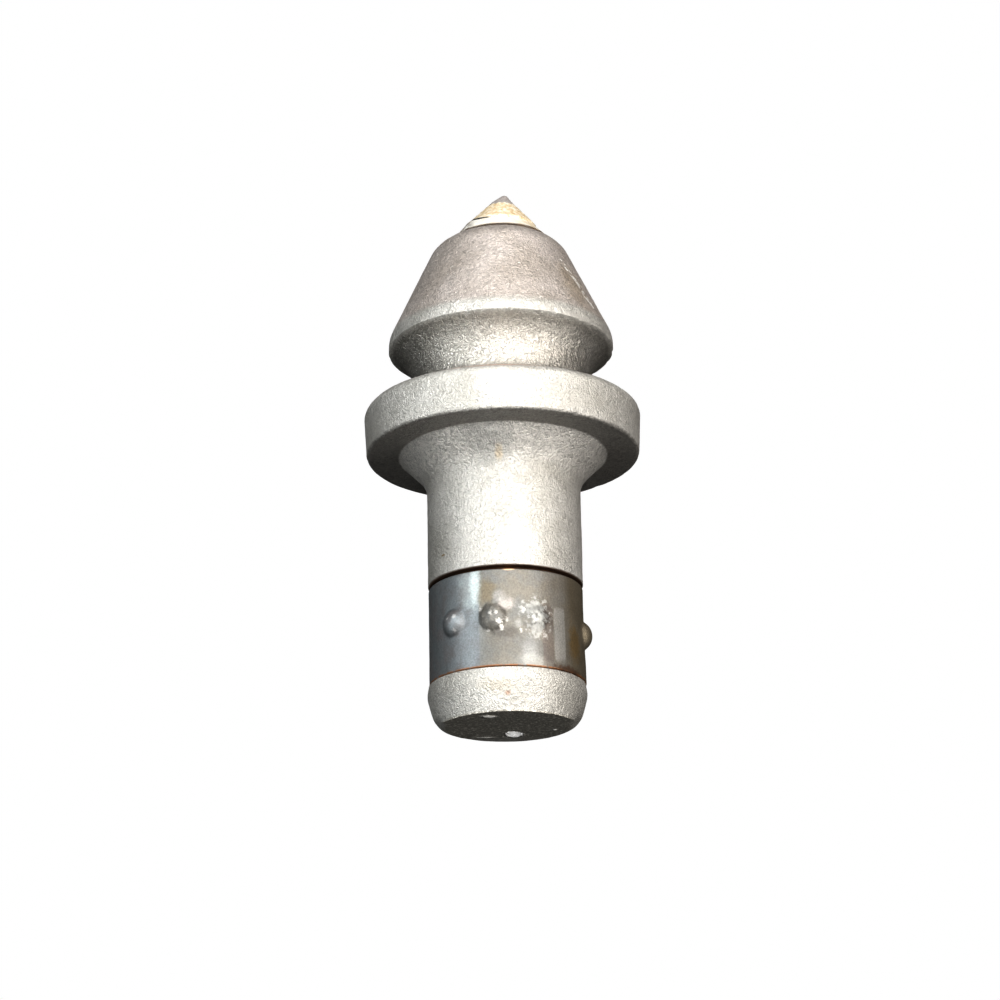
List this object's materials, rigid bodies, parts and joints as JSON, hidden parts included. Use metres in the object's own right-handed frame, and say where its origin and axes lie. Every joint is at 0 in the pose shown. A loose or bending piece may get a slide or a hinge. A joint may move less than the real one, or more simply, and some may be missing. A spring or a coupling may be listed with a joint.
{
  "type": "auger tooth",
  "caption": "Round shank auger tooth: conical head with a carbide tip, extraction groove, seating collar and a split spring sleeve that turns on the shank's neck.",
  "frame": {"origin": "centre of the shank's flat end face, on which the tooth stands", "axes": "+Z along the tooth's axis from the end face to the carbide tip; +X and +Y across it, with the sleeve's first dimples facing -Y"},
  "size_m": [0.0544, 0.0544, 0.1117],
  "materials": {
    "forged_steel": "forged and shot blasted, fine even grain",
    "carbide": "dark grey sintered carbide, smeared with braze on its flank",
    "braze": "smeared silver brass braze",
    "spring_steel": "smooth blue-grey spring steel with brown stains"
  },
  "bodies": {
    "tooth": {"tooth_body": "forged_steel", "carbide_tip": "carbide", "braze_joint": "braze"},
    "sleeve": {"retaining_sleeve": "spring_steel"}
  },
  "joints": [
    {"name": "sleeve_spin", "type": "hinge", "parent": "tooth", "child": "sleeve", "pos_m": [0, 0, 0.018], "axis": [0, 0, 1], "continuous": true}
  ]
}
